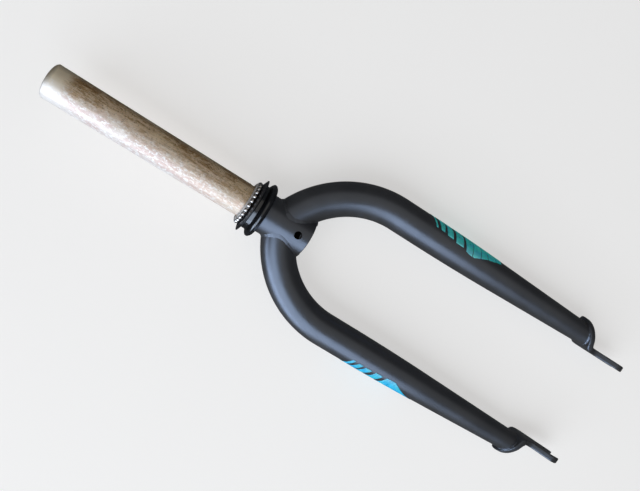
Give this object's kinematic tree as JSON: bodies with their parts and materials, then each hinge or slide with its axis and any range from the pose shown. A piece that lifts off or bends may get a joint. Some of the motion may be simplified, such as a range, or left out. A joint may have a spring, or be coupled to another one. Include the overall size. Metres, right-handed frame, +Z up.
{
  "type": "bicycle fork",
  "caption": "Rigid bicycle fork: plain steel steerer with crown race and bearing, black curved blades welded to a sleeve, and bent plate dropouts with open axle slots.",
  "frame": {"origin": "centre of the space it takes up, on the surface that it lies on", "axes": "+X from the steerer's top towards the dropouts, +Y to the rider's left, +Z up, which is towards the fork's front"},
  "size_m": [0.5479, 0.1516, 0.0547],
  "materials": {
    "bare_steel": "bare steel, dull, with olive-brown stains",
    "black_paint": "satin black paint",
    "weld_paint": "satin black paint over a rippled weld bead",
    "black_race": "blackened steel, semi-gloss",
    "seal_rubber": "black rubber",
    "cage_steel": "dull pressed steel, greasy",
    "ball_steel": "polished steel",
    "zinc": "zinc-plated steel",
    "turquoise_film": "turquoise film"
  },
  "bodies": {
    "root": {"steerer_tube": "bare_steel", "crown_sleeve": "black_paint", "crown_race": "black_race", "dust_seal": "seal_rubber", "ball_retainer": "cage_steel", "bearing_balls": "ball_steel", "star_nut_barrel": "zinc", "star_nut_springs": "zinc", "left_blade": "black_paint", "right_blade": "black_paint", "left_crown_weld": "weld_paint", "right_crown_weld": "weld_paint", "left_dropout": "black_paint", "right_dropout": "black_paint", "left_dropout_weld": "weld_paint", "right_dropout_weld": "weld_paint", "left_stripes": "turquoise_film", "right_stripes": "turquoise_film"}
  },
  "joints": []
}
